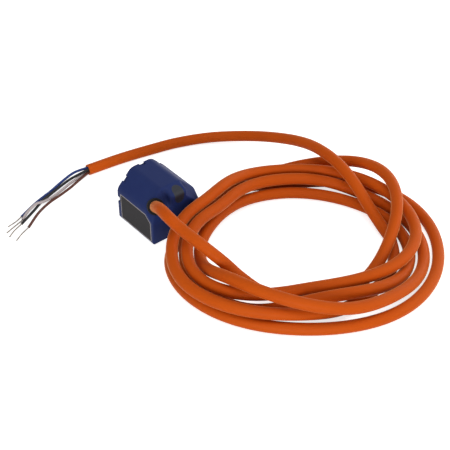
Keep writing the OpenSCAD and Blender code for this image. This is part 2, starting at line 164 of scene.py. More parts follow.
def place(piece: Piece, matrix: Matrix) -> Piece:
    """Carries a piece to a place given by a matrix, settles it there, and returns it."""
    piece.matrix_world = matrix
    settle(piece)
    return piece


def shift(x: float, y: float, z: float) -> Matrix:
    """Returns the matrix of a move given in millimetres."""
    return Matrix.Translation(mm((x, y, z)))


def join(piece: Piece, *others: Piece) -> None:
    """Joins other pieces into the first one, unchanged."""
    take(piece)
    for other in others:
        other.select_set(True)
    bpy.ops.object.join()


def bevel_edges(
    piece: Piece, test: Callable[[Edge], bool], width: float, segments: int
) -> None:
    """Bevels the edges that pass a test.

    Args:
        piece: the mesh object.
        test: says of an edge whether it is bevelled.
        width: how far the bevel reaches along each face, in millimetres.
        segments: the number of its steps.
    """
    with edit_mode(piece) as mesh:
        for edge in mesh.edges:
            edge.select_set(test(edge))
        bmesh.update_edit_mesh(piece.data)
        bpy.ops.mesh.bevel(
            offset_type="OFFSET", offset=width * MM, segments=segments, profile=0.5,
            affect="EDGES", clamp_overlap=False,
        )


def cut_plane(piece: Piece, point: Vector, normal: Vector) -> None:
    """Cuts off all of a piece that lies beyond a plane, and closes the cut."""
    with edit_mode(piece):
        bpy.ops.mesh.select_all(action="SELECT")
        bpy.ops.mesh.bisect(plane_co=point, plane_no=normal, use_fill=True, clear_outer=True)


def inset_faces(
    piece: Piece, test: Callable[[bmesh.types.BMFace], bool], thickness: float
) -> None:
    """Insets the faces that pass a test.

    Args:
        piece: the mesh object.
        test: says of a face whether it is inset.
        thickness: the width of its rim, in millimetres.
    """
    with edit_mode(piece) as mesh:
        bpy.ops.mesh.select_mode(type="FACE")
        for face in mesh.faces:
            face.select_set(test(face))
        bmesh.update_edit_mesh(piece.data)
        bpy.ops.mesh.inset(thickness=thickness * MM, depth=0)


def modify(piece: Piece, kind: str, **settings: object) -> None:
    """Adds a modifier to a piece, sets it by its settings' names, and applies it."""
    step = piece.modifiers.new(kind.lower(), kind)
    for name, value in settings.items():
        setattr(step, name, value)
    take(piece)
    bpy.ops.object.modifier_apply(modifier=step.name)


def combine(piece: Piece, other: Piece, way: str = "DIFFERENCE") -> None:
    """Cuts one piece by another or joins them, and removes the other.

    Args:
        piece: the piece that is kept.
        other: the cutter or the addition.
        way: the Boolean modifier's operation.
    """
    modify(piece, "BOOLEAN", operation=way, object=other, solver="EXACT")
    bpy.data.objects.remove(other)


def smooth(piece: Piece) -> None:
    """Shades a piece smoothly, with its flat faces kept flat."""
    take(piece)
    bpy.ops.object.shade_smooth_by_angle(angle=math.radians(CREASE))
    modify(piece, "WEIGHTED_NORMAL", keep_sharp=True)


def edge_line(edge: Edge, axis: int) -> bool:
    """Says whether an edge runs along an axis."""
    a, b = (v.co for v in edge.verts)
    return all(abs(a[k] - b[k]) < TOUCH for k in range(3) if k != axis)


def lies_at(edge: Edge, axis: int, level: float) -> bool:
    """Says whether an edge lies at a level along an axis, in millimetres."""
    return all(abs(v.co[axis] / MM - level) < NEAR for v in edge.verts)


def along_beam(edge: Edge, *corners: tuple[float, float]) -> bool:
    """Says whether an edge runs along the beam at a corner, given as |x| and z in millimetres."""
    at = edge.verts[0].co / MM
    return edge_line(edge, 1) and any(abs(abs(at.x) - x) + abs(at.z - z) < NEAR for x, z in corners)


# Curves and tubes


def smooth_route(points: Sequence[Vector], steps: int = 12) -> list[Vector]:
    """Runs a smooth curve through points, with its ends left as they point.

    Args:
        points: the points that the curve passes.
        steps: the number of steps between two points.

    Returns:
        The points of the curve.
    """
    row = [2 * points[0] - points[1], *points, 2 * points[-1] - points[-2]]
    curve = []
    for p0, p1, p2, p3 in zip(row, row[1:], row[2:], row[3:]):
        for k in range(steps):
            f = k / steps
            curve.append(
                0.5 * (2 * p1 + (p2 - p0) * f + (2 * p0 - 5 * p1 + 4 * p2 - p3) * f**2
                       + (3 * p1 - p0 - 3 * p2 + p3) * f**3)
            )
    return [*curve, points[-1].copy()]


def even_route(points: Sequence[Vector], step: float) -> list[Vector]:
    """Sets points on a curve again at one even step, its ends kept.

    Args:
        points: the points of the curve.
        step: the wanted step, in the points' unit.

    Returns:
        The even points.
    """
    walked = [0.0]
    for a, b in zip(points, points[1:]):
        walked.append(walked[-1] + (b - a).length)
    count = max(2, round(walked[-1] / step))
    even, i = [], 0
    for k in range(count + 1):
        at = walked[-1] * k / count
        while i < len(points) - 2 and walked[i + 1] < at:
            i += 1
        share = (at - walked[i]) / max(walked[i + 1] - walked[i], TOUCH * MM)
        even.append(points[i].lerp(points[i + 1], min(share, 1)))
    return even


def lay_down(curve: Sequence[Vector], radius: float, step: float) -> list[Vector]:
    """Lays a round cord, lifted where it would pass under the table.

    Args:
        curve: its centreline, in millimetres.
        radius: its radius, in millimetres.
        step: the wanted step between two points, in millimetres.

    Returns:
        The new centreline, in metres.
    """
    lifted = [Vector((p.x, p.y, max(p.z, radius))) for p in curve]
    return [point * MM for point in even_route(lifted, step)]


@dataclass
class Tube:
    """A swept tube with a map that runs once round it and along its length in metres."""

    name: str
    route: list[Vector]
    radius: float
    sides: int = 16
    cut_wall: float = 0.0
    cut_deep: float = 0.0
    lip_share: float = 0.15
    lip_map: float = 1.2

    def ways(self) -> list[Vector]:
        """Returns the way that the route runs at each of its points."""
        r = self.route
        inner = [(b - a).normalized() for a, b in zip(r, r[2:])]
        return [(r[1] - r[0]).normalized(), *inner, (r[-1] - r[-2]).normalized()]

    def frames(self) -> list[tuple[Vector, Vector]]:
        """Returns two directions across the route at each point, carried along without twist."""
        u, found = -UP, []
        for way in self.ways():
            u = (u - way * u.dot(way)).normalized()
            found.append((u, way.cross(u)))
        return found

    def rings(self) -> list[tuple[Vector, Vector, Vector, float, float]]:
        """Returns every ring's centre, two directions, radius and length walked, to the cut end."""
        walked, rows = 0.0, []
        ways, frames = self.ways(), self.frames()
        for i, (centre, (u, v)) in enumerate(zip(self.route, frames)):
            walked += (centre - self.route[i - 1]).length if i else 0
            rows.append((centre, u, v, self.radius, walked))
        if self.cut_wall:
            end, (u, v), way = self.route[-1], frames[-1], ways[-1]
            wall, hole = self.cut_wall, self.radius - self.cut_wall
            lip = wall * self.lip_share
            rows.append((end, u, v, hole + lip, walked + wall))
            rows.append((end - way * lip, u, v, hole, walked + wall * self.lip_map))
            rows.append((end - way * self.cut_deep, u, v, hole, walked + wall + self.cut_deep))
        return rows

    def build(self) -> Piece:
        """Makes the tube's mesh, and returns it as a new object."""
        rows, n = self.rings(), self.sides
        turns = [2 * math.pi * k / n for k in range(n)]
        points = [
            c + r * (math.cos(t) * u + math.sin(t) * v) for c, u, v, r, _ in rows for t in turns
        ]
        faces, charts = [], []
        for i in range(len(rows) - 1):
            a, b = rows[i][4], rows[i + 1][4]
            for k in range(n):
                j = (k + 1) % n
                faces.append((i * n + k, i * n + j, (i + 1) * n + j, (i + 1) * n + k))
                charts.append(((k / n, a), ((k + 1) / n, a), ((k + 1) / n, b), (k / n, b)))
        for ring, flip in ((0, True), (len(rows) - 1, False)):
            first, centre, walked = ring * n, rows[ring][0], rows[ring][4]
            points.append(centre)
            for k in range(n):
                face = (first + k, first + (k + 1) % n, len(points) - 1)
                chart = ((k / n, walked), ((k + 1) / n, walked), ((k + 0.5) / n, walked))
                faces.append(face[::-1] if flip else face)
                charts.append(chart[::-1] if flip else chart)
        mesh = bpy.data.meshes.new(self.name)
        mesh.from_pydata(points, [], faces)
        layer = mesh.uv_layers.new(name="Jacket")
        flat = [corner for chart in charts for corner in chart]
        for corner, uv in zip(layer.data, flat):
            corner.uv = uv
        piece = new_object(self.name, mesh)
        take(piece)
        bpy.ops.object.shade_smooth_by_angle(angle=math.radians(TUBE_CREASE))
        return piece


# Finishes


class Surface(Enum):
    """What a pattern's coordinates follow."""

    OBJECT = "Object"
    JACKET = "UV"


class Nodes:
    """The node tree of a material or a world, built a node at a time."""

    def __init__(self, owner: Material | bpy.types.World) -> None:
        """Opens the tree, and finds the shader on its output."""
        owner.use_nodes = True
        self.tree = owner.node_tree
        self.shader = self.tree.get_output_node("ALL").inputs["Surface"].links[0].from_node

    def add(self, kind: str, **sockets: object) -> bpy.types.Node:
        """Adds a node and sets or links its inputs.

        Args:
            kind: the node's type name without its ShaderNode prefix.
            sockets: input names with underscores for spaces, each a value or an output socket.

        Returns:
            The new node.
        """
        node = self.tree.nodes.new("ShaderNode" + kind)
        self.feed(node, **sockets)
        return node

    def feed(self, node: bpy.types.Node, **sockets: object) -> None:
        """Sets or links a node's inputs by name."""
        for name, value in sockets.items():
            socket = node.inputs[name.replace("_", " ")]
            if isinstance(value, Socket):
                self.tree.links.new(value, socket)
            else:
                socket.default_value = value

    def where(self, surface: Surface, stretch: Triple = (1, 1, 1)) -> Socket:
        """Returns coordinates on the piece, stretched along their axes."""
        source = self.add("TexCoord").outputs[surface.value]
        return self.add("Mapping", Vector=source, Scale=stretch).outputs["Vector"]

    def noise(self, at: Socket, scale: float, detail: float) -> Socket:
        """Returns a noise pattern's value between 0 and 1."""
        node = self.add("TexNoise", Vector=at, Scale=scale, Detail=detail, Roughness=NOISE_ROUGH)
        return node.outputs["Fac"]

    def band(
        self, value: Socket, to_low: float = 0, to_high: float = 1,
        low: float = NOISE_LOW, high: float = NOISE_HIGH,
    ) -> Socket:
        """Returns a value carried from low and high to another range, and held at its ends."""
        return self.add(
            "MapRange", Value=value, From_Min=low, From_Max=high, To_Min=to_low, To_Max=to_high
        ).outputs["Result"]

    def around(self, pattern: Socket, middle: float, swing: float) -> Socket:
        """Returns a noise pattern carried to the range round a middle."""
        return self.band(pattern, middle - swing, middle + swing)

    def math(self, operation: str, first: Socket, second: Socket) -> Socket:
        """Returns what an operation makes of two values."""
        node = self.tree.nodes.new("ShaderNodeMath")
        node.operation = operation
        for value, socket in zip((first, second), node.inputs):
            self.tree.links.new(value, socket)
        return node.outputs["Value"]

    def seen(self, unseen: float, level: float) -> Socket:
        """Returns a level where the eye, a gloss or a glass sees it, and another elsewhere."""
        rays = self.add("LightPath").outputs
        share = rays["Is Camera Ray"]
        for ray in ("Is Glossy Ray", "Is Transmission Ray"):
            share = self.math("MAXIMUM", share, rays[ray])
        return self.band(share, unseen, level, low=0, high=1)

    def mix(self, share: Socket, first: Colour, second: Colour) -> Socket:
        """Returns a colour between two colours."""
        ramp = self.tree.nodes.new("ShaderNodeValToRGB")
        for stop, colour in zip(ramp.color_ramp.elements, (first, second)):
            stop.color = (*colour, 1)
        self.feed(ramp, Fac=share)
        return ramp.outputs["Color"]

    def bump(self, height: Socket, strength: float, distance: float) -> None:
        """Gives the shader a bumped normal, its height in millimetres at full strength."""
        node = self.add("Bump", Height=height, Strength=strength, Distance=distance * MM)
        self.feed(self.shader, Normal=node.outputs["Normal"])


@dataclass(frozen=True)
class Finish:
    """A surface that a material is made for."""

    name: str

    def make(self) -> Material:
        """Returns the finish as a new material."""
        material = bpy.data.materials.new(self.name)
        self.paint(Nodes(material))
        return material

    def paint(self, kit: Nodes) -> None:
        """Builds the finish's nodes."""
        raise NotImplementedError


@dataclass(frozen=True)
class Moulded(Finish):
    """Moulded or cast plastic, rubber or resin: fine spark-eroded grain and faint flow clouds."""

    colour: Colour
    cloud: Colour
    roughness: float = 0.45
    spread: float = 0.08
    cloud_scale: float = 140
    grain: float = 2600
    depth: float = 0.02
    strength: float = 0.25
    specular: float = 0.5
    coat: float = 0.0

    def paint(self, kit: Nodes) -> None:
        """Builds the finish's nodes."""
        at = kit.where(Surface.OBJECT)
        clouds = kit.noise(at, self.cloud_scale, detail=3)
        fine = kit.noise(at, self.grain, detail=2)
        kit.feed(
            kit.shader,
            Base_Color=kit.mix(kit.band(clouds), self.colour, self.cloud),
            Roughness=kit.around(fine, self.roughness, self.spread),
            Specular_IOR_Level=self.specular,
            Coat_Weight=self.coat,
        )
        kit.bump(fine, self.strength, self.depth)


@dataclass(frozen=True)
class Extruded(Finish):
    """Extruded insulation: draw lines along it, faint bands round it, a sheen at its sides."""

    colour: Colour
    cloud: Colour
    roughness: float = 0.42
    spread: float = 0.07
    cloud_scale: float = 45
    spot_scale: float = 900
    lines: float = 34
    bands: float = 90
    depth: float = 0.03
    strength: float = 0.2
    specular: float = 0.5
    sheen: float = 0.0
    sheen_spread: float = 0.3
    sheen_tint: Colour = (1, 0.5, 0.2)

    def paint(self, kit: Nodes) -> None:
        """Builds the finish's nodes."""
        along = kit.where(Surface.JACKET, (self.lines, self.bands, 1))
        lines = kit.noise(along, 1.0, detail=3)
        at = kit.where(Surface.OBJECT)
        spots = kit.noise(at, self.spot_scale, detail=3)
        clouds = kit.noise(at, self.cloud_scale, detail=2)
        kit.feed(
            kit.shader,
            Base_Color=kit.mix(kit.band(clouds), self.colour, self.cloud),
            Roughness=kit.around(spots, self.roughness, self.spread),
            Specular_IOR_Level=self.specular,
            Sheen_Weight=self.sheen,
            Sheen_Roughness=self.sheen_spread,
            Sheen_Tint=(*self.sheen_tint, 1),
        )
        kit.bump(kit.math("ADD", lines, spots), self.strength, self.depth)


@dataclass(frozen=True)
class Metal(Finish):
    """Drawn, tinned or turned metal: bright, with fine tool marks and dull patches."""

    colour: Colour
    dull: Colour
    roughness: float = 0.3
    polished: float = 0.1
    scuffed: float = 0.12
    marks: Triple = (400, 400, 6000)
    patch_scale: float = 700
    patch_low: float = 0.35
    depth: float = 0.01
    strength: float = 0.2

    def paint(self, kit: Nodes) -> None:
        """Builds the finish's nodes."""
        marks = kit.noise(kit.where(Surface.OBJECT, self.marks), 1.0, detail=3)
        patches = kit.noise(kit.where(Surface.OBJECT), self.patch_scale, detail=4)
        low, high = self.roughness - self.polished, self.roughness + self.scuffed
        kit.feed(
            kit.shader,
            Base_Color=kit.mix(kit.band(patches, low=self.patch_low), self.colour, self.dull),
            Metallic=1.0,
            Roughness=kit.band(marks, low, high),
        )
        kit.bump(marks, self.strength, self.depth)


@dataclass(frozen=True)
class Clear(Finish):
    """Clear or smoky plastic and glass, polished, with faint haze inside."""

    tint: Colour
    haze: Colour
    roughness: float = 0.06
    spread: float = 0.15
    through: float = 0.9
    index: float = 1.49
    specular: float = 0.5
    haze_scale: float = 260
    wipe_scale: float = 1500

    def paint(self, kit: Nodes) -> None:
        """Builds the finish's nodes."""
        at = kit.where(Surface.OBJECT)
        haze = kit.noise(at, self.haze_scale, detail=4)
        wipes = kit.noise(at, self.wipe_scale, detail=2)
        kit.feed(
            kit.shader,
            Base_Color=kit.mix(kit.band(haze), self.tint, self.haze),
            Roughness=kit.around(wipes, self.roughness, self.roughness * self.spread),
            Transmission_Weight=self.through,
            IOR=self.index,
            Specular_IOR_Level=self.specular,
        )


@dataclass(frozen=True)
class Board(Finish):
    """Glass-fibre board under solder mask: copper runs show as paler bands over a fine weave."""

    mask: Colour
    runs: Colour
    run_scale: float = 620
    run_gap: float = 0.03
    weave: float = 2400
    waver: float = 0.4
    roughness: tuple[float, float] = (0.28, 0.4)
    coat: float = 0.4
    depth: float = 0.01
    strength: float = 0.15

    def paint(self, kit: Nodes) -> None:
        """Builds the finish's nodes."""
        at = kit.where(Surface.OBJECT)
        bricks = kit.add("TexBrick", Vector=at, Scale=self.run_scale, Mortar_Size=self.run_gap)
        wave = kit.add("TexWave", Vector=at, Scale=self.weave, Distortion=self.waver)
        threads = wave.outputs["Fac"]
        kit.feed(
            kit.shader,
            Base_Color=kit.mix(bricks.outputs["Fac"], self.mask, self.runs),
            Roughness=kit.band(threads, *self.roughness, low=0, high=1),
            Coat_Weight=self.coat,
        )
        kit.bump(threads, self.strength, self.depth)


HOUSING_BLUE = Moulded(
    "housing_blue", (0.0125, 0.0235, 0.104), (0.0145, 0.027, 0.111), roughness=0.46, specular=0.1
)
JACKET_ORANGE = Extruded(
    "jacket_orange", (0.545, 0.084, 0.004), (0.505, 0.073, 0.0035),
    roughness=0.5, specular=0.07, sheen=1.0,
)
GROMMET_RUBBER = Moulded(
    "grommet_rubber", (0.006, 0.0055, 0.0055), (0.009, 0.008, 0.008),
    roughness=0.62, grain=1800, specular=0.12,
)
LABEL_FILM = Moulded(
    "label_film", (0.026, 0.024, 0.026), (0.03, 0.028, 0.03),
    roughness=0.5, grain=4200, depth=0.01, specular=0.05,
)
LABEL_BORDER = Moulded(
    "label_border", (0.26, 0.23, 0.22), (0.32, 0.29, 0.28), roughness=0.5, grain=4200, depth=0.01
)
SMOKY_WINDOW = Clear(
    "smoky_window", (0.02, 0.022, 0.032), (0.017, 0.019, 0.027),
    roughness=0.4, through=0.12, specular=0.25,
)
FRONT_ACRYLIC = Clear(
    "front_acrylic", (0.75, 0.2, 0.2), (0.7, 0.17, 0.17),
    roughness=0.03, through=0.96, specular=0.15,
)
LENS_GLASS = Clear(
    "lens_glass", (0.93, 0.95, 0.96), (0.88, 0.91, 0.93), roughness=0.03, through=0.96, index=1.58
)
LED_EPOXY = Clear(
    "led_epoxy", (0.85, 0.8, 0.62), (0.78, 0.72, 0.55), roughness=0.12, through=0.6, index=1.53
)
BLACK_PLASTIC = Moulded(
    "black_plastic", (0.018, 0.018, 0.02), (0.026, 0.026, 0.028), roughness=0.5
)
SEAL_RUBBER = Moulded(
    "seal_rubber", (0.014, 0.013, 0.013), (0.02, 0.019, 0.019), roughness=0.7, grain=1500
)
CAST_RESIN = Moulded(
    "cast_resin", (0.02, 0.02, 0.022), (0.03, 0.03, 0.032), roughness=0.22, coat=0.5, strength=0.08
)
CHIP_CERAMIC = Moulded(
    "chip_ceramic", (0.2, 0.14, 0.09), (0.27, 0.19, 0.12), roughness=0.55, grain=5200
)
TINNED = Metal("tinned_copper", (0.66, 0.64, 0.6), (0.5, 0.48, 0.45), roughness=0.32)
BARE_STRANDS = Metal("bare_strands", (0.42, 0.38, 0.34), (0.27, 0.24, 0.21), roughness=0.45)
TURNED_BRASS = Metal("turned_brass", (0.72, 0.53, 0.24), (0.6, 0.42, 0.18), roughness=0.26)
BOARD_GREEN = Board("board_green", (0.012, 0.09, 0.045), (0.03, 0.15, 0.075))


def insulation(name: str, colour: Colour, cloud: Colour) -> Extruded:
    """Returns the finish of a thin core."""
    return Extruded(name, colour, cloud, lines=10, depth=0.01, specular=0.2)


class CoreColour(Enum):
    """The insulation of the four cores."""

    BLUE = insulation("core_blue", (0.016, 0.036, 0.16), (0.022, 0.045, 0.18))
    BLACK = insulation("core_black", (0.01, 0.01, 0.011), (0.015, 0.014, 0.015))
    WHITE = insulation("core_white", (0.5, 0.43, 0.43), (0.45, 0.39, 0.39))
    BROWN = insulation("core_brown", (0.09, 0.026, 0.016), (0.11, 0.034, 0.021))

    @property
    def word(self) -> str:
        """The colour as a word."""
        return self.name.lower()


def dress(piece: Piece, *materials: Material) -> None:
    """Gives a piece its materials in order, in place of any that it had."""
    piece.data.materials.clear()
    for material in materials:
        piece.data.materials.append(material)


def fix(piece: Piece, slot: str, *nodes: str) -> Piece:
    """Makes a finished piece part of the object.

    Args:
        piece: the finished piece.
        slot: the record's material slot; not used.
        nodes: the CAD nodes that it stands for.

    Returns:
        The same piece.
    """
    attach(piece, BODY)
    if nodes:
        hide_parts(*nodes)
    log.info("%s: %d faces", piece.name, len(piece.data.polygons))
    return piece


def complete(piece: Piece, finish: Finish, slot: str, *nodes: str) -> Piece:
    """Gives a piece its one finish, and makes it part of the object as fix does."""
    dress(piece, finish.make())
    return fix(piece, slot, *nodes)


# The object


class Facet(Enum):
    """The three slanted rear facets, by their turn round the optical axis in degrees."""

    LEFT = -45
    CENTRE = 0
    RIGHT = 45


@dataclass
class SensorHousing:
    """The blue cup: octagonal round the optical axis, slanted at the rear, with a notched rim."""

    width: float = 25.8
    length: float = 25
    axis_z: float = 10.2
    wall: float = 2
    edge_r: float = 4
    base_edge_r: float = 1
    soft_edge: float = 0.55
    bevel_run: float = 5
    bevel_drop: float = 4
    mid_drop: float = 2.4
    right_drop: float = 6
    gland_wall_x: float = -3.2
    block_wall_x: float = 5.2
    block_edge: float = 1.3
    gland_edge: float = 1.6
    notch: Triple = (2.5, 2, 0.8)
    notch_turns: tuple[float, ...] = (-90, -45, 0, 45, 90)
    rim_wall: float = 1.4
    ledge_y: float = 10.3
    boss_r: float = 3.25
    boss_h: float = 5
    insert_pitch: float = 16
    insert_d: float = 4.2
    insert_l: float = 4
    bore_r: float = 3
    bore_deep: float = 6.4
    collar_r: float = 3.6
    collar_deep: float = 2
    least_r: float = 0.5
    weld: float = 0.02
    flat_angle: float = 1
    over: float = 1
    arc_steps: int = 6

    @property
    def apothem(self) -> float:
        """Half the width across the flats."""
        return self.width / 2

    @property
    def front_y(self) -> float:
        """The front rim's place along the beam."""
        return self.length / 2

    @property
    def facet_half(self) -> float:
        """Half the width of one side of the octagon."""
        return self.apothem * EIGHTH

    @property
    def block_z(self) -> float:
        """The height of the middle rear facet's lower edge."""
        return self.axis_z + self.apothem - self.mid_drop

    @property
    def steep_foot(self) -> Vector:
        """The left corner at the foot of the steep face below the left rear facet."""
        return Vector((
            -self.apothem, -self.front_y, self.axis_z + self.facet_half - self.bevel_drop
        ))

    @property
    def steep_head(self) -> Vector:
        """The left corner at the head of the steep face."""
        return Vector((
            -self.facet_half, -self.front_y + self.bevel_run, self.axis_z + self.apothem
        ))

    @property
    def steep_way(self) -> Vector:
        """The way that the steep face looks."""
        rise = self.steep_head - self.steep_foot
        return Vector((0, -rise.z, rise.y)).normalized()

    @property
    def exit(self) -> Vector:
        """The middle of the steep face's upper edge, where the cable leaves."""
        return (self.steep_head + self.steep_foot) / 2

    def facet(self, which: Facet) -> Matrix:
        """Returns a facet's frame in metres: X along its upper edge, Y up it, Z out of it."""
        drops = {
            Facet.LEFT: self.bevel_drop, Facet.CENTRE: self.mid_drop, Facet.RIGHT: self.right_drop
        }
        turn = math.radians(which.value)
        tilt = math.atan(drops[which] * math.cos(turn) / self.bevel_run)
        spun = shift(0, 0, self.axis_z) @ Matrix.Rotation(turn, 4, "Y")
        upper_edge = shift(0, -self.front_y + self.bevel_run, self.apothem)
        return spun @ upper_edge @ Matrix.Rotation(tilt, 4, "X")

    def along_cable(self) -> Matrix:
        """Returns the cable's frame at its exit in metres, Z between the two faces' normals."""
        facet_way = self.facet(Facet.LEFT).to_3x3() @ UP
        turned = (facet_way + self.steep_way).to_track_quat("Z", "Y").to_matrix().to_4x4()
        return Matrix.Translation(self.exit * MM) @ turned

    @property
    def cable_way(self) -> Vector:
        """The way that the cable leaves."""
        return self.along_cable().to_3x3() @ UP

    def shoulders(self, half: float, flat: float) -> tuple[tuple[float, float], ...]:
        """Returns both corners of a slanted side, for halves of a width and of one side."""
        return (half, self.axis_z + flat), (flat, self.axis_z + half)

    def prism(
        self, name: str, inset: float, from_y: float, to_y: float, rounded: bool = True
    ) -> Piece:
        """Makes a prism of the housing's outline.

        Args:
            name: the piece's name.
            inset: its depth under the housing's surface.
            from_y: its rear end along the beam.
            to_y: its front end along the beam.
            rounded: whether its long edges are rounded here.

        Returns:
            The new object.
        """
        half = self.apothem - inset
        flat = self.facet_half * half / self.apothem
        top, low = self.axis_z + half, inset
        piece = new_box(name, (-half, from_y, low), (half, to_y, top))
        bevel_edges(piece, lambda edge: along_beam(edge, (half, top)), half - flat, 1)
        if rounded:
            reach = max(self.edge_r - inset, self.least_r) * EIGHTH
            shoulders = self.shoulders(half, flat)
            bevel_edges(piece, lambda edge: along_beam(edge, *shoulders), reach, self.arc_steps)
            low_r = max(self.base_edge_r - inset, self.least_r)
            bevel_edges(
                piece, lambda edge: along_beam(edge, (half, low)), low_r, self.arc_steps // 2
            )
        return piece

    def form(self, name: str, inset: float, to_y: float, rounded: bool = True) -> Piece:
        """Makes the housing's form with its rear facets, at a depth under its surface."""
        piece = self.prism(name, inset, -self.front_y + inset, to_y, rounded)
        planes = {}
        for which in Facet:
            face = self.facet(which)
            normal = face.to_3x3() @ UP
            planes[which] = (face.translation - normal * inset * MM, normal)
        cut_plane(piece, *planes[Facet.LEFT])
        cut_plane(piece, *planes[Facet.CENTRE])
        beside = new_box(
            "beside", (self.block_wall_x - inset, -self.length, 0),
            (self.width, self.front_y, self.width),
        )
        at, normal = planes[Facet.RIGHT]
        cut_plane(beside, at, -normal)
        combine(piece, beside)
        behind = new_box(
            "behind", (-self.width, -self.length, self.steep_foot.z - self.bevel_drop),
            (self.gland_wall_x + inset, self.front_y, self.width),
        )
        cut_plane(behind, (self.steep_foot - self.steep_way * inset) * MM, -self.steep_way)
        combine(piece, behind)
        return piece

    def outside(self, name: str) -> Piece:
        """Makes the housing's outer form, its edges rounded in one bevel, each kind by its own."""
        piece = self.form(name, 0, self.front_y, rounded=False)
        reach = self.edge_r * EIGHTH
        shoulders = self.shoulders(self.apothem, self.facet_half)
        with edit_mode(piece) as mesh:
            bpy.ops.mesh.select_all(action="SELECT")
            bpy.ops.mesh.remove_doubles(threshold=self.weld * MM)
            bpy.ops.mesh.dissolve_limited(angle_limit=math.radians(self.flat_angle))
            share = mesh.edges.layers.float.new("bevel_weight_edge")
            for edge in mesh.edges:
                if along_beam(edge, *shoulders):
                    edge[share] = 1
                elif along_beam(edge, (self.apothem, 0)):
                    edge[share] = self.base_edge_r / reach
                elif lies_at(edge, 2, self.block_z) and edge_line(edge, 0):
                    edge[share] = self.block_edge / reach
                elif lies_at(edge, 0, self.gland_wall_x):
                    edge[share] = self.gland_edge / reach
                elif any(v.co.y < 0 for v in edge.verts):
                    edge[share] = self.soft_edge / reach
            bmesh.update_edit_mesh(piece.data)
        modify(
            piece, "BEVEL", limit_method="WEIGHT", width=reach * MM, segments=self.arc_steps,
            use_clamp_overlap=False,
        )
        return piece

    def notch_rim(self, piece: Piece) -> None:
        """Cuts the notches into the front rim, one in the middle of every upper facet."""
        wide, long, deep = self.notch
        for turn in self.notch_turns:
            cutter = new_box(
                "notch", (-wide / 2, self.front_y - long, self.apothem - deep),
                (wide / 2, self.front_y + self.over, self.apothem + self.over),
            )
            spun = shift(0, 0, self.axis_z) @ Matrix.Rotation(math.radians(turn), 4, "Y")
            combine(piece, place(cutter, spun))

    def build(self, label: "RatingLabel", window: "IndicatorWindow") -> Piece:
        """Makes the housing.

        Args:
            label: the plate whose recess is cut into the left side.
            window: the window whose slot is cut into the middle rear facet.

        Returns:
            The finished piece.
        """
        piece = self.outside("housing_shell")
        combine(piece, self.form("hollow", self.wall, self.ledge_y + self.over))
        for side in (-1, 1):
            middle = shift(side * self.insert_pitch / 2, 0, 0)
            boss = new_rod("boss", self.boss_r, self.wall / 2, self.boss_h)
            combine(piece, place(boss, middle), "UNION")
            bore = new_rod("bore", self.insert_d / 2, -self.over, self.insert_l)
            combine(piece, place(bore, middle))
        combine(piece, self.prism("rim", self.rim_wall, self.ledge_y, self.front_y + self.over))
        self.notch_rim(piece)
        for radius, deep in ((self.bore_r, self.bore_deep), (self.collar_r, self.collar_deep)):
            cable_bore = new_rod("cable_bore", radius, -deep, self.wall)
            combine(piece, place(cable_bore, self.along_cable()))
        combine(piece, window.slot("window_slot", self, self.over))
        combine(piece, label.plate("label_recess", self, self.over))
        smooth(piece)
        return complete(piece, HOUSING_BLUE, "housing_blue", "housing")


def looks_left(face: bmesh.types.BMFace | bpy.types.MeshPolygon) -> bool:
    """Says whether a face looks to the label's side."""
    return face.normal.x < -FACING


@dataclass
class RatingLabel:
    """The dark plate on the left side, bare, with a pale border."""

    rear_y: float = -11
    front_y: float = 10.5
    low_z: float = 1
    high_z: float = 13.7
    cut: tuple[float, float] = (3.6, 2.9)
    thickness: float = 0.3
    border: float = 0.38
    corner_r: float = 0.35
    corner_steps: int = 4

    def plate(self, name: str, housing: SensorHousing, proud: float = 0) -> Piece:
        """Makes the plate's block, its outer face standing proud of the housing by a length."""
        face = -housing.apothem
        piece = new_box(
            name, (face - proud, self.rear_y, self.low_z),
            (face + self.thickness, self.front_y, self.high_z),
        )
        corner = mm((face, self.rear_y, self.high_z - self.cut[1]))
        cut_plane(piece, corner, Vector((0, -self.cut[1], self.cut[0])).normalized())
        bevel_edges(piece, lambda edge: edge_line(edge, 0), self.corner_r, self.corner_steps)
        return piece

    def build(self, housing: SensorHousing) -> Piece:
        """Makes the label with its border, and returns it finished."""
        piece = self.plate("rating_label", housing)
        inset_faces(piece, looks_left, self.border)
        dress(piece, LABEL_BORDER.make(), LABEL_FILM.make())
        outward = [face for face in piece.data.polygons if looks_left(face)]
        max(outward, key=lambda face: face.area).material_index = 1
        smooth(piece)
        return fix(piece, "label_dark", "label_plate")


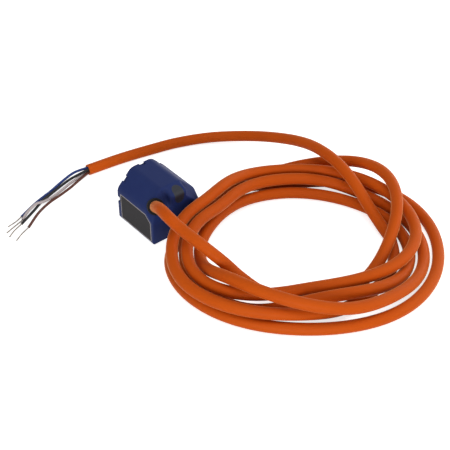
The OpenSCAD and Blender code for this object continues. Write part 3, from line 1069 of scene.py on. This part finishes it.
@dataclass
class IndicatorWindow:
    """The smoky window over the lower edge of the middle rear facet, with its light guide."""

    width: float = 4.8
    length: float = 7.8
    sideways: float = 1.5
    tilt: float = 60
    middle: float = -0.3
    deep: float = 4.3
    proud: float = 4
    end_steps: int = 16
    stem_r: float = 1.5
    stem_sides: int = 32
    stem_y: float = -8.93
    stem_low_z: float = 8.3
    stem_top_z: float = 19.6

    def slot(self, name: str, housing: SensorHousing, over: float) -> Piece:
        """Makes the slot's block, reaching inwards beyond the window by a length."""
        piece = new_box(
            name, (-self.width / 2, self.middle - self.length / 2, -self.deep - over),
            (self.width / 2, self.middle + self.length / 2, self.proud),
        )
        round_end = self.width / 2 - NEAR
        bevel_edges(piece, lambda edge: edge_line(edge, 2), round_end, self.end_steps)
        tilted = Matrix.Rotation(math.radians(self.tilt), 4, "X")
        return place(piece, shift(self.sideways, -housing.front_y, housing.block_z) @ tilted)

    def build(self, housing: SensorHousing) -> Piece:
        """Makes the window and its stem, and returns it finished."""
        piece = self.slot("indicator_window", housing, 0)
        combine(piece, housing.outside("window_form"), "INTERSECT")
        stem = new_rod("stem", self.stem_r, self.stem_low_z, self.stem_top_z, self.stem_sides)
        combine(piece, place(stem, shift(self.sideways, self.stem_y, 0)), "UNION")
        smooth(piece)
        return complete(piece, SMOKY_WINDOW, "window_grey", "light_guide")


@dataclass
class CableGrommet:
    """The black rubber collar round the cable, with its barrel in the housing's bore."""

    barrel_r: float = 3
    barrel_deep: float = 3.6
    collar_h: float = 0.6
    lip: float = 0.35
    lip_steps: int = 5
    bore_r: float = 2.6

    def build(self, housing: SensorHousing) -> Piece:
        """Makes the grommet, and returns it finished."""
        low, high, over = -self.barrel_deep, self.collar_h, housing.over
        piece = new_rod("cable_collar", self.barrel_r, low, -housing.collar_deep / 2)
        collar = new_rod("collar", housing.collar_r, -housing.collar_deep, high)
        bevel_edges(collar, lambda edge: lies_at(edge, 2, high), self.lip, self.lip_steps)
        combine(piece, collar, "UNION")
        combine(piece, new_rod("bore", self.bore_r, low - over, high + over))
        place(piece, housing.along_cable())
        smooth(piece)
        return complete(piece, GROMMET_RUBBER, "black_rubber", "cable_grommet")


@dataclass
class FrontCover:
    """The tinted plate that closes the optical end."""

    rear_y: float = 10.8
    thickness: float = 1.5
    gap: float = 0.1
    edge: float = 0.25
    edge_steps: int = 3

    def build(self, housing: SensorHousing) -> Piece:
        """Makes the cover with its softened front edge, and returns it finished."""
        front = self.rear_y + self.thickness
        piece = housing.prism("front_window", housing.rim_wall + self.gap, self.rear_y, front)
        bevel_edges(piece, lambda edge: lies_at(edge, 1, front), self.edge, self.edge_steps)
        smooth(piece)
        return complete(piece, FRONT_ACRYLIC, "front_acrylic", "front_cover")


@dataclass
class ThreadedInserts:
    """The two brass inserts in the base, threaded inside."""

    bore_r: float = 1.25
    sides: int = 48
    mouth: float = 0.3
    mouth_steps: int = 2
    mouth_slack: float = 0.05
    thread_pitch: float = 0.5
    thread_deep: float = 0.15
    thread_end: float = 0.5
    thread_steps: int = 32
    thread_sides: int = 6

    def at_mouth(self, edge: Edge) -> bool:
        """Says whether an edge is on the rim of the bore at the base."""
        reach = (self.bore_r + self.mouth_slack) * MM
        return all(v.co.z < TOUCH and v.co.xy.length < reach for v in edge.verts)

    def thread(self, length: float) -> Piece:
        """Makes the thread of an insert of some length as a helix on its bore."""
        turns = int((length - 2 * self.thread_end) / self.thread_pitch)
        helix = []
        for k in range(turns * self.thread_steps + 1):
            walked = k / self.thread_steps
            angle = 2 * math.pi * walked
            helix.append(mm((
                self.bore_r * math.cos(angle), self.bore_r * math.sin(angle),
                self.thread_end + self.thread_pitch * walked,
            )))
        return Tube("thread", helix, self.thread_deep * MM, self.thread_sides).build()

    def build(self, housing: SensorHousing) -> Piece:
        """Makes both inserts as one piece, the second a copy of the first, and returns it."""
        length, over, pitch = housing.insert_l, housing.over, housing.insert_pitch
        piece = new_rod("brass_inserts", housing.insert_d / 2, 0, length, self.sides)
        combine(piece, new_rod("bore", self.bore_r, -over, length + over, self.sides))
        bevel_edges(piece, self.at_mouth, self.mouth, self.mouth_steps)
        join(piece, self.thread(length))
        place(piece, shift(pitch / 2, 0, 0))
        twin = new_object("twin", piece.data.copy())
        join(piece, place(twin, shift(-pitch, 0, 0)))
        smooth(piece)
        return complete(piece, TURNED_BRASS, "brass", "threaded_inserts")


@dataclass
class SensorCable:
    """The orange cable: out of the grommet, down to a loose coil, and on to its cut end.

    The coil is laid by a winding chart: at every station, an equal step in angle, it gives the
    lane, counted outwards, and the layer, counted upwards.
    """

    diameter: float = 5
    inside: float = 7
    straight: float = 3
    centre: tuple[float, float] = (31.5, -52.5)
    half_long: float = 41.5
    half_short: float = 37
    turn: float = -39.5
    start: float = 270
    step: float = 5.5
    stations: int = 16
    smooth_steps: int = 12
    ring_step: float = 1.25
    sides: int = 20
    wall: float = 0.75
    cut_deep: float = 0.9
    lead: tuple[Triple, ...] = (
        (-11.6, -17.5, 21.4), (-12.4, -24, 21.6), (-11.2, -30.5, 19.2), (-9.6, -41.2, 17.2),
        (-5.6, -50.2, 11.8), (-2.8, -56.8, 7.2), (0, -66.8, 4.8),
    )
    tail: tuple[Triple, ...] = (
        (67, -66.5, 4), (68.5, -57, 8), (70, -47, 13), (71.8, -36, 15.6), (73.3, -24, 15.6),
        (74, -12, 13.5), (72.5, 2, 9.5), (66.5, 17, 5.5), (54.5, 30.5, 3), (40, 38, 2.5),
        (25, 42, 2.5), (10, 45, 2.5), (-6, 47, 2.5),
    )
    winding: tuple[tuple[float, float], ...] = (
        (-0.9, 0), (-0.9, 0), (-0.9, 0), (-1.1, 0.45), (-0.6, 1.25), (1, 2.2), (2.8, 2.3),
        (3.8, 0.9), (3.1, 0), (1.9, 0), (1.25, 0), (-0.7, 0), (1.95, 0), (2.5, 0),
        (2.5, 0), (2.3, 0), (2.2, 0), (2.5, 0), (3, 0), (3.1, 0), (3.1, 0), (3.3, 0),
        (3, 0), (1.8, 0), (0.9, 0), (0.9, 0.2), (0.6, 1.1), (-0.2, 1.05), (0.75, 0.95),
        (1.4, -0.1), (1.4, 0), (1.1, 0), (0.5, 1.05), (0.3, 1.2), (0.95, 0.95), (1.1, 0),
        (0.9, 0), (0.5, 0), (0, 0), (-0.2, 0), (-0.2, 0), (-0.25, 0), (-0.7, 0.4), (-0.95, 0.6),
        (-0.35, 0.2), (0.2, 0.3), (0.7, 2.1), (1.3, 2.4), (2, 2.2), (2.4, 1.4), (2.1, 1),
        (2.1, 0.1), (2, 0), (1.7, 0), (1.2, 0.1), (0.6, 0.9), (0.2, 1.1), (0.2, 1.05), (-0.7, 1.5),
        (-1.15, 1.5), (0.2, 1.9), (1.5, 1), (1.6, 1.1), (0.4, 1.15), (-0.7, 1.1), (-0.85, 1.1),
        (-0.4, 1.1), (0.6, 1.1), (1.5, 1.1), (1.7, 1.1), (1.9, 1.1), (1.7, 1.1), (1.4, 1.1),
        (1.35, 1.2), (0.2, 2.15), (-0.25, 2.1), (1.35, 2.15), (2.65, 1), (2.7, 1.1), (2.3, 1.15),
        (1.6, 0.9), (0.9, 0.05), (0.15, 0), (0, 0), (-0.3, 0),
    )

    def lay(self, at: float) -> Vector:
        """Returns the coil's lane and layer at a station, whole or in between."""
        chart = [Vector(stop) for stop in self.winding]
        last = len(chart) - 1
        i = min(int(at), last - 1)
        f = at - i
        before = chart[i - 1] if i else 2 * chart[0] - chart[1]
        after = chart[i + 2] if i + 2 <= last else 2 * chart[last] - chart[last - 1]
        return (
            (1 - f)**3 * before + (3 * f**3 - 6 * f * f + 4) * chart[i]
            + (3 * f + 3 * f * f - 3 * f**3 + 1) * chart[i + 1] + f**3 * after
        ) / 6

    def coil_at(self, at: float) -> Vector:
        """Returns a point of the coil's centreline at a station, in millimetres."""
        lane, layer = self.lay(at)
        angle = math.radians(self.start + at * 360 / self.stations)
        oval = self.half_long * self.half_short / math.hypot(
            self.half_short * math.cos(angle), self.half_long * math.sin(angle)
        )
        reach, way = oval + lane * self.step, angle + math.radians(self.turn)
        return Vector((
            self.centre[0] + reach * math.cos(way), self.centre[1] + reach * math.sin(way),
            self.diameter / 2 + max(layer, 0) * self.step,
        ))

    def route(self, housing: SensorHousing) -> list[Vector]:
        """Returns the whole cable's centreline in metres, at an even step."""
        steps, out, leave = self.smooth_steps, housing.cable_way, housing.exit
        coil = [self.coil_at(k / steps) for k in range((len(self.winding) - 1) * steps + 1)]
        head = coil[0] + self.diameter * (coil[0] - coil[1]).normalized()
        foot = coil[-1] + self.diameter * (coil[-1] - coil[-2]).normalized()
        start = (leave - self.inside * out, leave, leave + self.straight * out)
        lead = smooth_route([*start, *map(Vector, self.lead), head, coil[0]], steps)
        tail = smooth_route([coil[-1], foot, *map(Vector, self.tail)], steps)
        return lay_down([*lead[:-1], *coil, *tail[1:]], self.diameter / 2, self.ring_step)

    def build(self, housing: SensorHousing, collar: Piece) -> list[Vector]:
        """Args:
            housing: the housing that it leaves.
            collar: the grommet round it; not used.

        Returns:
            The cable's centreline.
        """
        route = self.route(housing)
        piece = Tube(
            "cable_jacket", route, self.diameter / 2 * MM, self.sides,
            self.wall * MM, self.cut_deep * MM,
        ).build()
        complete(piece, JACKET_ORANGE, "cable_orange", "cable_lead", "cable_coil", "cable_tail")
        return route


@dataclass
class StrippedCore:
    """One core out of the cable's cut end, with its bare twisted conductor."""

    colour: CoreColour
    side: float
    up: float
    way: tuple[Triple, ...]
    bare: tuple[Triple, ...]
    spread: float = 0.75
    radius: float = 0.6
    sides: int = 14
    step: float = 0.5
    wall: float = 0.22
    cut_deep: float = 0.3
    inside: float = 0.8
    strand_r: float = 0.1
    strand_sides: int = 8
    strands_round: int = 6
    wire_step: float = 0.25
    wire_inside: float = 0.6
    wire_straight: float = 0.4
    twist: float = 5.5

    def root(self, end: Vector, along: Vector) -> Vector:
        """Returns where the core leaves the cable's end, in millimetres."""
        across = UP.cross(along).normalized()
        return end - self.spread * self.side * across + self.spread * self.up * UP

    def conductor(self, route: list[Vector]) -> Piece:
        """Makes the bare end of strands twisted round a middle one.

        Args:
            route: its centreline in metres.

        Returns:
            The finished piece.
        """
        radius, sides = self.strand_r * MM, self.strand_sides
        middle = Tube(f"conductor_{self.colour.word}", route, radius, sides)
        piece, strands = middle.build(), []
        for k in range(self.strands_round):
            points = []
            for centre, u, v, _, walked in middle.rings():
                turn = 2 * math.pi * (k / self.strands_round + walked / MM / self.twist)
                points.append(centre + 2 * radius * (math.cos(turn) * u + math.sin(turn) * v))
            strands.append(Tube("strand", points, radius, sides).build())
        join(piece, *strands)
        return complete(piece, BARE_STRANDS, "tinned_metal", "tinned_ends")

    def build(self, cable: list[Vector]) -> None:
        """Args:
            cable: the cable's centreline, whose last point is its cut end.
        """
        end, along = cable[-1] / MM, (cable[-1] - cable[-2]).normalized()
        root = self.root(end, along)
        points = [root - self.inside * along, root, *map(Vector, self.way)]
        route = lay_down(smooth_route(points), self.radius, self.step)
        name = f"core_{self.colour.word}"
        piece = Tube(
            f"{name}_sleeve", route, self.radius * MM, self.sides,
            self.wall * MM, self.cut_deep * MM,
        ).build()
        tip, last = points[-1], (points[-1] - points[-2]).normalized()
        wire = [tip - last * self.wire_inside, tip + last * self.wire_straight]
        curve = smooth_route([*wire, *map(Vector, self.bare)])
        conductor = self.conductor(lay_down(curve, 3 * self.strand_r, self.wire_step))
        complete(piece, self.colour.value, name, name)


def stripped_cores() -> list[StrippedCore]:
    """Returns the four cores with their routes as they lie on the table."""
    return [
        StrippedCore(
            CoreColour.BLUE, 1, 1,
            ((-12.3, 48.9, 2.9), (-19, 48.2, 1.7), (-27.4, 46.1, 0.6), (-36.5, 43.2, 0.6),
             (-46, 39, 0.6)),
            ((-50.2, 36.7, 1.3), (-54.5, 35.6, 1.5)),
        ),
        StrippedCore(
            CoreColour.BLACK, -1, 1,
            ((-14, 47.1, 2), (-19.8, 46.6, 1.2), (-28.8, 44.2, 0.6), (-34, 42.3, 0.6),
             (-40, 39, 0.6), (-48.5, 34.7, 0.6)),
            ((-53.2, 32.8, 0.5), (-57, 30.5, 0.4)),
        ),
        StrippedCore(
            CoreColour.WHITE, 1, -1,
            ((-11.4, 46.8, 1), (-16.4, 45.9, 0.6), (-21.4, 44.3, 0.6), (-28.1, 42.3, 0.6),
             (-34.2, 41, 1.5), (-37, 40.5, 2.5), (-40, 39.8, 2.3), (-43.5, 38.7, 1.5),
             (-46.7, 37, 0.6)),
            ((-51.9, 35.2, 0.4), (-56.5, 33.6, 0.4)),
        ),
        StrippedCore(
            CoreColour.BROWN, -1, -1,
            ((-12.8, 44.9, 0.8), (-18.5, 43, 0.6), (-24.9, 41.3, 0.6), (-31.3, 39.8, 0.6),
             (-38.8, 36.6, 0.6), (-47.4, 30.8, 0.6)),
            ((-51.8, 28.9, 0.5), (-55.9, 26.6, 0.4)),
        ),
    ]


@dataclass
class InnerWiring:
    """The cores inside the housing, from the cable's inner end to the pads of the main board."""

    spread: float = 1.2
    run: float = 0.6
    pad_y: float = -3.2
    pad_z: float = 7.5
    rise: float = 1.6
    radius: float = 0.6
    sides: int = 12
    smooth_steps: int = 6
    step: float = 0.4
    pads: tuple[tuple[CoreColour, float, int, int], ...] = (
        (CoreColour.BLACK, -1.2, 1, 0), (CoreColour.BROWN, -3.2, 0, -1),
        (CoreColour.BLUE, -5.2, 0, 1), (CoreColour.WHITE, -7.2, -1, 0),
    )

    def build(self, housing: SensorHousing, inside: float) -> None:
        """Makes the four inner cores.

        Args:
            housing: the housing that they are in.
            inside: how far the cable reaches into it.
        """
        way = housing.cable_way
        end = housing.exit - inside * way
        across = Vector((0, 1, 0)).cross(way).normalized()
        upward = way.cross(across)
        for colour, pad_x, side, up in self.pads:
            root = end + self.spread * (side * across + up * upward)
            pad = Vector((pad_x, self.pad_y, self.pad_z))
            points = [root, root - self.run * way, pad + self.rise * UP, pad]
            route = lay_down(smooth_route(points, self.smooth_steps), self.radius, self.step)
            name = f"inner_{colour.word}_sleeve"
            piece = Tube(name, route, self.radius * MM, self.sides).build()
            complete(piece, colour.value, f"core_{colour.word}", f"inner_core_{colour.word}")


@dataclass
class KeptSolids:
    """The CAD solids that stay as they are, each with its finish."""

    finishes: dict[str, Finish] = field(default_factory=lambda: {
        "cover_seal": SEAL_RUBBER, "lens_holder": BLACK_PLASTIC, "emitter_lens": LENS_GLASS,
        "receiver_lens": LENS_GLASS, "emitter_led": LED_EPOXY, "receiver_diode": BLACK_PLASTIC,
        "receiver_shield": TINNED, "optics_board": BOARD_GREEN, "main_board": BOARD_GREEN,
        "board_pins": TURNED_BRASS, "signal_chip": BLACK_PLASTIC, "board_parts": CHIP_CERAMIC,
        "indicator_leds": LED_EPOXY, "crimp_ring": TINNED, "potting_fill": CAST_RESIN,
    })

    def build(self) -> None:
        """Dresses every kept solid."""
        made: dict[str, Material] = {}
        for name, finish in self.finishes.items():
            if finish.name not in made:
                made[finish.name] = finish.make()
            dress(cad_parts[name], made[finish.name])
            log.info("%s: kept", name)


# The studio


@dataclass
class Studio:
    """A pale floor, soft light and a camera at the photograph's angle."""

    azimuth: float = -39.5
    elevation: float = 39.2
    look_at: Triple = (18.9, -21.0, 0)
    distance: float = 452
    lens: float = 84
    sensor: float = 36
    sight: tuple[float, float] = (0.01, 20)
    floor_size: float = 6
    floor_tone: float = 0.86
    floor_rough: float = 0.9
    glow: float = 0.72
    ambient: float = 0.34
    lamps: tuple[tuple[str, Triple, float, float], ...] = (
        ("overhead", (-60, -160, 620), 0.4, 1.15),
        ("key", (460, -380, 260), 0.5, 1.2),
        ("side", (560, 60, 180), 0.4, 0.8),
        ("front", (-400, -470, 70), 0.4, 2.9),
    )

    @staticmethod
    def aim(thing: Piece, at: Vector, way: Vector) -> None:
        """Puts a camera or a lamp in its place, looking along a way."""
        thing.location = at
        thing.rotation_mode = "QUATERNION"
        thing.rotation_quaternion = way.to_track_quat("-Z", "Y")

    def camera(self) -> None:
        """Sets the camera."""
        az, el = math.radians(self.azimuth), math.radians(self.elevation)
        back = Vector((math.sin(az) * math.cos(el), -math.cos(az) * math.cos(el), math.sin(el)))
        data = bpy.data.cameras.new("photo_camera")
        data.lens, data.sensor_width = self.lens, self.sensor
        data.clip_start, data.clip_end = self.sight
        eye = new_object("photo_camera", data)
        self.aim(eye, mm(self.look_at) + back * self.distance * MM, -back)
        bpy.context.scene.camera = eye

    def floor(self) -> None:
        """Lays the floor, which looks white where no shadow falls."""
        bpy.ops.object.select_all(action="DESELECT")
        bpy.ops.mesh.primitive_plane_add(size=self.floor_size, location=(0, 0, 0))
        piece = bpy.context.object
        piece.name = "studio_floor"
        material = bpy.data.materials.new("studio_floor")
        kit = Nodes(material)
        kit.feed(
            kit.shader,
            Base_Color=(self.floor_tone, self.floor_tone, self.floor_tone, 1),
            Roughness=self.floor_rough,
            Specular_IOR_Level=0.0,
            Emission_Color=(1, 1, 1, 1),
            Emission_Strength=kit.seen(0, self.glow),
        )
        dress(piece, material)

    def sky(self) -> None:
        """Makes the world white where it is seen, and a plain soft light elsewhere."""
        world = bpy.data.worlds.new("studio")
        bpy.context.scene.world = world
        kit = Nodes(world)
        kit.feed(kit.shader, Color=(1, 1, 1, 1), Strength=kit.seen(self.ambient, 1))

    def lights(self) -> None:
        """Hangs the soft boxes."""
        for name, at, size, power in self.lamps:
            data = bpy.data.lights.new(name, "AREA")
            data.shape, data.size, data.energy = "SQUARE", size, power
            self.aim(new_object(name, data), mm(at), mm(self.look_at) - mm(at))

    def build(self) -> None:
        """Sets up the camera, floor, sky and lights."""
        bpy.context.scene.view_settings.view_transform = "Standard"
        self.camera()
        self.floor()
        self.sky()
        self.lights()


def main() -> None:
    """Builds the studio and then the object, piece by piece."""
    logging.basicConfig(level=logging.INFO, format="%(name)s %(message)s")
    Studio().build()
    housing, label, window, cable = SensorHousing(), RatingLabel(), IndicatorWindow(), SensorCable()
    collar = CableGrommet().build(housing)
    route = cable.build(housing, collar)
    for core in stripped_cores():
        core.build(route)
    housing.build(label, window)
    label.build(housing)
    window.build(housing)
    FrontCover().build(housing)
    ThreadedInserts().build(housing)
    InnerWiring().build(housing, cable.inside)
    KeptSolids().build()


if __name__ == "__main__":
    main()
